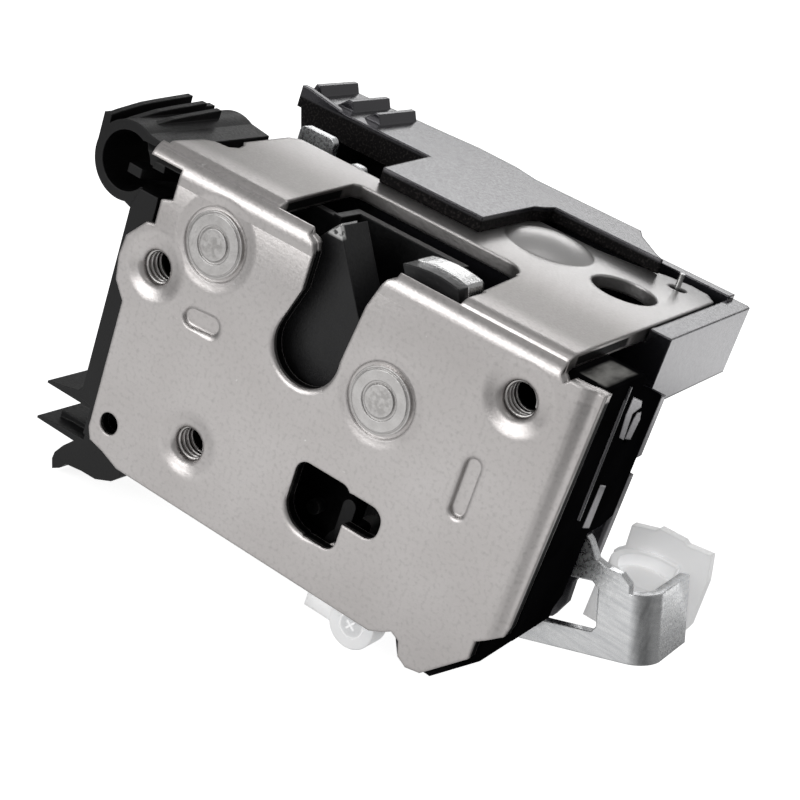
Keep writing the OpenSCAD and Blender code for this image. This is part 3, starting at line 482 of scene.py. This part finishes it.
def shaded_bend(parts, links, toned):
    """A dark band in fine upright streaks, painted as shade along the bend of the return."""
    along, _, height = axes(parts, links)
    outward = work(parts, links, "ADD",
                   work(parts, links, "MULTIPLY", along, math.cos(lever_slope)),
                   work(parts, links, "MULTIPLY", height, math.sin(lever_slope)))
    upright = grain(parts, links, scale=900, detail=3, stretch=(1.0, 1.0, 0.25))
    streaks = spread(parts, links, upright, 0.45, 1)
    band = every(parts, links,
                 between(parts, links, outward, *mm(*return_bend), soft=bend_soft * MM),
                 streaks)
    return mix_tones(parts, links, band, toned, bend_shade_zinc)


bright_zinc = metal("bright_zinc", dark=(0.74, 0.75, 0.765), light=(0.93, 0.935, 0.94),
                    rough=(0.22, 0.34), cloud=420, fine=2200, depth=0.000014, radius=0.0003,
                    stretch=(0.5, 0.5, 5.0), patches=shaded_bend)
dress(bright_zinc, "outside_lever", "locking_slide")


# Threads: four turns in each of the face plate's three drawn collars, cut after the
# pressing. They take the screws that hold the lock in the door.
thread_top = 2.55 * MM
thread_depth = 0.32 * MM
thread_pitch = 1.0 * MM
thread_from = 0.9 * MM
thread_turns = 4.0
thread_steps = 40
thread_sides = 4


def tree_inputs(name, sizes):
    """A node tree with a geometry output and one named number input for each size."""
    made = bpy.data.node_groups.new(name, "GeometryNodeTree")
    made.interface.new_socket("Geometry", in_out="INPUT", socket_type="NodeSocketGeometry")
    keys = {}
    for label, value in sizes.items():
        slot = made.interface.new_socket(label, in_out="INPUT", socket_type="NodeSocketFloat")
        keys[label] = (slot.identifier, value)
    made.interface.new_socket("Geometry", in_out="OUTPUT", socket_type="NodeSocketGeometry")
    return made, made.nodes, made.links, made.nodes.new("NodeGroupInput"), keys


def grown(name, made, keys, start):
    """The tree's result on a start mesh, as a plain mesh object."""
    holder = bpy.data.objects.new(name, start)
    bpy.context.scene.collection.objects.link(holder)
    step = holder.modifiers.new(name, "NODES")
    step.node_group = made
    for identifier, value in keys.values():
        step[identifier] = value
    seen_by = bpy.context.evaluated_depsgraph_get()
    mesh = bpy.data.meshes.new_from_object(holder.evaluated_get(seen_by))
    bpy.data.objects.remove(holder)
    piece = bpy.data.objects.new(name, mesh)
    bpy.context.scene.collection.objects.link(piece)
    return piece


thread_tree, parts, links, given, thread_keys = tree_inputs("thread_cut", {
    "Radius": thread_top, "Depth": thread_depth, "Pitch": thread_pitch,
    "Turns": thread_turns})
coil = parts.new("GeometryNodeCurveSpiral")
coil.inputs["Resolution"].default_value = thread_steps
rise = parts.new("ShaderNodeMath")
rise.operation = "MULTIPLY"
links.new(given.outputs["Turns"], rise.inputs[0])
links.new(given.outputs["Pitch"], rise.inputs[1])
links.new(given.outputs["Turns"], coil.inputs["Rotations"])
links.new(given.outputs["Radius"], coil.inputs["Start Radius"])
links.new(given.outputs["Radius"], coil.inputs["End Radius"])
links.new(rise.outputs[0], coil.inputs["Height"])
ridge = parts.new("GeometryNodeCurvePrimitiveCircle")
ridge.mode = "RADIUS"
ridge.inputs["Resolution"].default_value = thread_sides
links.new(given.outputs["Depth"], ridge.inputs["Radius"])
swept = parts.new("GeometryNodeCurveToMesh")
swept.inputs["Fill Caps"].default_value = True
links.new(coil.outputs["Curve"], swept.inputs["Curve"])
links.new(ridge.outputs["Curve"], swept.inputs["Profile Curve"])
placed = parts.new("GeometryNodeInstanceOnPoints")
placed.inputs["Rotation"].default_value = (math.radians(-90), 0, 0)
links.new(given.outputs["Geometry"], placed.inputs["Points"])
links.new(swept.outputs["Mesh"], placed.inputs["Instance"])
real = parts.new("GeometryNodeRealizeInstances")
coat = parts.new("GeometryNodeSetMaterial")
coat.inputs["Material"].default_value = rivet_steel
links.new(placed.outputs["Instances"], real.inputs["Geometry"])
links.new(real.outputs["Geometry"], coat.inputs["Geometry"])
leave = parts.new("NodeGroupOutput")
links.new(coat.outputs["Geometry"], leave.inputs["Geometry"])
hole_marks = bpy.data.meshes.new("hole_marks")
hole_marks.from_pydata([(x * MM, thread_from, z * MM) for x, z in hole_spots], [], [])
threads = grown("hole_threads", thread_tree, thread_keys, hole_marks)
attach(threads, "frame")


# Black mouldings: the housing, which closes round claw and pawl, and the lock and inside
# levers. Glass-filled plastic with a fine spark-eroded grain, matt and deep black. The
# housing's top at the flange's right corner is rubbed grey.
side_gloss, side_fade = 0.36, (0.0, 37.0)
rub_across, rub_back, rub_above = (37.2, 41.2), (3.5, 13.2), (28.1, 28.15)
rub_tone, rub_polish = (0.34, 0.335, 0.32), 0.12


def moulded(name, dark, light, rough, fine, depth, radius, ior=1.5, gloss=0.5, patches=None):
    """Plastic in two clouded tones; patches changes the tone and the roughness in places."""
    made, parts, links = new_finish(name)
    body = parts["Principled BSDF"]
    body.inputs["IOR"].default_value = ior
    body.inputs["Specular IOR Level"].default_value = gloss
    clouds = grain(parts, links, scale=150, detail=3)
    small = grain(parts, links, fine, detail=3)
    toned = mix_tones(parts, links, spread(parts, links, clouds, 0, 1), dark, light)
    roughness = spread(parts, links, small, *rough)
    if patches:
        toned, roughness = patches(parts, links, toned, roughness)
    links.new(toned, body.inputs["Base Color"])
    links.new(roughness, body.inputs["Roughness"])
    edge_rounding(parts, links, radius, small, depth)
    return made


def rubbed_corner(parts, links, toned, roughness):
    """Grey clouds on the rubbed corner, and less gloss towards the right."""
    along, inward, height = axes(parts, links)
    links.new(spread(parts, links, along, side_gloss, 0.0, mm(*side_fade)),
              parts["Principled BSDF"].inputs["Specular IOR Level"])
    spot = every(parts, links,
                 between(parts, links, along, *mm(*rub_across), soft=0.3 * MM),
                 between(parts, links, inward, *mm(*rub_back), soft=0.4 * MM),
                 spread(parts, links, height, 0, 1, mm(*rub_above)))
    swirl = grain(parts, links, scale=420, detail=4, stretch=(1.0, 0.4, 1.0))
    swirl = spread(parts, links, swirl, 0.15, 1)
    spot = work(parts, links, "MULTIPLY", spot, swirl)
    return (mix_tones(parts, links, spot, toned, rub_tone),
            work(parts, links, "SUBTRACT", roughness,
                 work(parts, links, "MULTIPLY", spot, rub_polish)))


black_plastic = moulded("black_plastic", dark=(0.0025, 0.0025, 0.0028),
                        light=(0.005, 0.005, 0.0055), rough=(0.36, 0.5), fine=2600,
                        depth=0.00003, radius=0.0003, ior=1.5, gloss=0.5,
                        patches=rubbed_corner)
dress(black_plastic, "housing", "lock_lever", "inside_lever")


# Rear cover and back cover: smooth black mouldings with a higher gloss on their outer
# faces, screwed together. The floor of the tray and its front walls keep the coarse grain
# of the tool. The front walls are painted darker as shade, and what shows in the side
# windows is painted pale as a reflection.
tray_below = (27.6, 28.6)
wall_below, wall_left_of, wall_back = (32.2, 32.7), (38.8, 39.4), (26.6, 53.2)
wall_shade_tone, wall_gloss, wall_rough = (0.0045, 0.004, 0.004), 0.04, 0.4
end_across, end_above = (34.0, 34.4), (28.4, 28.8)
window_across, window_below = (41.6, 42.4), (25.4, 25.6)
window_rim, window_rim_reflection_tone = (23.9, 26.2), (0.24, 0.235, 0.245)
window_pane, window_pane_reflection_tone = (20.5, 21.5), (0.3, 0.29, 0.305)
speck_tone, front_speck_tone = (0.14, 0.135, 0.13), (0.045, 0.04, 0.038)


def grain_shade_and_window_reflection(parts, links, toned, roughness):
    """Coarse dull grain in the tray and on the front wall, painted shade on the front wall, and
    a painted reflection that makes the side windows pale.
    """
    along, inward, height = axes(parts, links)
    deep = spread(parts, links, height, 1, 0, mm(*tray_below))
    wall = every(parts, links, spread(parts, links, height, 1, 0, mm(*wall_below)),
                 spread(parts, links, along, 1, 0, mm(*wall_left_of)),
                 between(parts, links, inward, *mm(*wall_back), soft=0.2 * MM))
    end_top = every(parts, links, spread(parts, links, along, 0, 1, mm(*end_across)),
                    spread(parts, links, height, 0, 1, mm(*end_above)))
    wall = work(parts, links, "MULTIPLY", wall, work(parts, links, "SUBTRACT", 1, end_top))
    deep = work(parts, links, "MULTIPLY", deep, wall)
    # Painted reflection: the side windows and their panes are pale.
    window_reflection = every(parts, links, between(parts, links, along, *mm(*window_across)),
                 spread(parts, links, height, 1, 0, mm(*window_below)))
    side_rim = work(parts, links, "MULTIPLY", window_reflection,
                    between(parts, links, inward, *mm(*window_rim)))
    side_pane = work(parts, links, "MULTIPLY", window_reflection,
                     spread(parts, links, inward, 1, 0, mm(*window_pane)))
    toned = mix_tones(parts, links, side_rim, toned, window_rim_reflection_tone)
    toned = mix_tones(parts, links, side_pane, toned, window_pane_reflection_tone)
    # Painted shade darkens the front walls.
    toned = mix_tones(parts, links, wall, toned, wall_shade_tone)
    links.new(spread(parts, links, wall, 0.5, wall_gloss, (0.0, 1.0)),
              parts["Principled BSDF"].inputs["Specular IOR Level"])
    speck = spread(parts, links, grain(parts, links, scale=2400, detail=3), 0, 1, (0.50, 0.62))
    speck = work(parts, links, "MULTIPLY", speck, deep)
    front_speck = spread(parts, links, grain(parts, links, scale=2600, detail=2), 0, 0.5,
                         (0.52, 0.66))
    front_speck = work(parts, links, "MULTIPLY", wall, front_speck)
    toned = mix_tones(parts, links, front_speck, toned, front_speck_tone)
    return (mix_tones(parts, links, speck, toned, speck_tone),
            work(parts, links, "ADD", roughness,
                 work(parts, links, "MULTIPLY", wall, wall_rough)))


gloss_cover = moulded("gloss_cover", dark=(0.012, 0.012, 0.0145), light=(0.016, 0.016, 0.019),
                      rough=(0.16, 0.24), fine=2200, depth=0.000015, radius=0.0004,
                      ior=1.85, gloss=0.5, patches=grain_shade_and_window_reflection)
gloss_cover.node_tree.nodes["Principled BSDF"].inputs["Specular Tint"].default_value = (
    0.97, 0.95, 1.0, 1)
dress(gloss_cover, "rear_cover", "back_cover")


# Skins of claw and pawl: satin black plastic, moulded round the steel cores so that the
# latch closes quietly. The jaw's tip carries a small white mark.
mark_across, mark_up, mark_back = (-5.8, -3.2), (28.8, 30.6), (2.4, 4.8)
mark_soft = 0.2
white_mark = (0.75, 0.75, 0.74)


def white_tip(parts, links, toned, roughness):
    """The rough white mark on the tip of the jaw."""
    along, inward, height = axes(parts, links)
    mark = every(parts, links,
                 between(parts, links, along, *mm(*mark_across), soft=mark_soft * MM),
                 between(parts, links, height, *mm(*mark_up), soft=mark_soft * MM),
                 between(parts, links, inward, *mm(*mark_back), soft=mark_soft * MM))
    rough_mark = grain(parts, links, scale=1400, detail=3)
    rough_mark = spread(parts, links, rough_mark, 0.1, 1, (0.4, 0.52))
    return (mix_tones(parts, links, work(parts, links, "MULTIPLY", mark, rough_mark), toned,
                      white_mark), roughness)


claw_plastic = moulded("claw_plastic", dark=(0.012, 0.012, 0.013), light=(0.020, 0.020, 0.021),
                       rough=(0.34, 0.46), fine=1800, depth=0.00004, radius=0.0004,
                       ior=1.5, gloss=0.35, patches=white_tip)
dress(claw_plastic, "claw_cover", "pawl_cover")


# Striker bumper: a moulded block of black rubber, set in the housing. It stops the striker
# softly at the end of the slot.
bumper_rubber = moulded("bumper_rubber", dark=(0.01, 0.01, 0.01), light=(0.018, 0.018, 0.018),
                        rough=(0.6, 0.75), fine=1800, depth=0.00003, radius=0.0004)
dress(bumper_rubber, "striker_bumper")


# Rod clips: moulded in natural white plastic that lets some light through. They snap onto
# studs of the levers and hold the ends of the rods.
white_clip = moulded("white_clip", dark=(0.86, 0.86, 0.865), light=(0.92, 0.92, 0.925),
                     rough=(0.28, 0.38), fine=1500, depth=0.00002, radius=0.0005)
clip_body = white_clip.node_tree.nodes["Principled BSDF"]
clip_body.inputs["Subsurface Weight"].default_value = 0.6
clip_body.inputs["Subsurface Radius"].default_value = (1.0, 0.95, 0.9)
clip_body.inputs["Subsurface Scale"].default_value = 0.003
# The clips also glow a little: painted light that brightens them where they lie in shade.
clip_body.inputs["Emission Color"].default_value = (1, 1, 1, 1)
clip_body.inputs["Emission Strength"].default_value = 0.24
dress(white_clip, "outside_rod_clip", "lock_rod_clip")


# Closed front of the lock rod clip: the thin wall that hides the lever's stud, with the
# crossed mark of the moulding pin in its middle. It is moulded in one with the clip.
cap_spot = (17.7, -24.3)
# Radius and depth of each ring; a ring without a radius closes its end.
cap_rings = [(0.0, 3.98), (1.7, 3.98), (2.0, 4.04), (2.12, 4.16), (2.12, 4.26), (0.0, 4.26)]
cap_steps = 48
pin_mark_front = 3.97
pin_mark_size = (1.9, 0.16, 0.32)
pin_mark_turns = (0.6, 0.6 + math.pi / 2)
cap_form = bmesh.new()
cap_loops = []
for radius, depth in cap_rings:
    turns = [2 * math.pi * step / cap_steps for step in range(cap_steps if radius else 1)]
    cap_loops.append([cap_form.verts.new((radius * math.cos(turn) * MM, depth * MM,
                                          radius * math.sin(turn) * MM)) for turn in turns])
for near, far in zip(cap_loops, cap_loops[1:]):
    for step in range(cap_steps):
        corners = [near[step % len(near)], near[(step + 1) % len(near)],
                   far[(step + 1) % len(far)], far[step % len(far)]]
        cap_form.faces.new(list(dict.fromkeys(corners)))
for turn in pin_mark_turns:
    bmesh.ops.create_cube(cap_form, size=1.0, matrix=(
        Matrix.Translation((0, pin_mark_front * MM, 0)) @ Matrix.Rotation(turn, 4, "Y")
        @ Matrix.Diagonal((*mm(*pin_mark_size), 1.0))))
bmesh.ops.translate(cap_form, verts=cap_form.verts,
                    vec=(cap_spot[0] * MM, 0, cap_spot[1] * MM))
bmesh.ops.recalc_face_normals(cap_form, faces=cap_form.faces)
cap_mesh = bpy.data.meshes.new("lock_clip_front")
cap_form.to_mesh(cap_mesh)
cap_form.free()
cap_mesh.materials.append(white_clip)
lock_clip_front = bpy.data.objects.new("lock_clip_front", cap_mesh)
bpy.context.scene.collection.objects.link(lock_clip_front)
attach(lock_clip_front, "lock_clip")


# Right side of the housing: a long moulded ridge, and the panes that show in its windows.
# They are smooth plastic like the covers, moulded on, and are painted pale as a reflection of
# the side light.
side_wall = 42.2
panes = [
    [(12.5, 25.3), (16.6, 23.8), (17.3, 22.6), (14.8, 22.1), (15.5, 17.8), (13.4, 18.7),
     (12.4, 22.5)],
    [(18.1, 21.7), (18.9, 20.2), (18.2, 17.2), (15.9, 17.9), (16.1, 21.0), (16.7, 21.9)],
    [(13.5, 11.1), (15.9, 10.3), (16.0, 3.2), (13.2, 4.1)],
]
ridge_line = [(9.3, 27.6), (9.75, 27.5), (10.2, 6.3), (9.75, 6.4)]
plate_sink = 0.1
pane_height = 0.06
ridge_height = 0.35


def side_plates(name, outlines, height, material):
    """Flat plates that stand a little proud of the housing's right wall."""
    form = bmesh.new()
    for outline in outlines:
        low = [form.verts.new(((side_wall - plate_sink) * MM, y * MM, z * MM))
               for y, z in outline]
        top = [form.verts.new(((side_wall + height) * MM, y * MM, z * MM))
               for y, z in outline]
        form.faces.new(low)
        form.faces.new(top)
        for near in range(len(outline)):
            far = (near + 1) % len(outline)
            form.faces.new((low[near], low[far], top[far], top[near]))
    bmesh.ops.recalc_face_normals(form, faces=form.faces)
    mesh = bpy.data.meshes.new(name)
    form.to_mesh(mesh)
    form.free()
    mesh.materials.append(material)
    plates = bpy.data.objects.new(name, mesh)
    bpy.context.scene.collection.objects.link(plates)
    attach(plates, "frame")


side_plates("side_panes", panes, pane_height, gloss_cover)
side_plates("side_ridge", [ridge_line], ridge_height, gloss_cover)
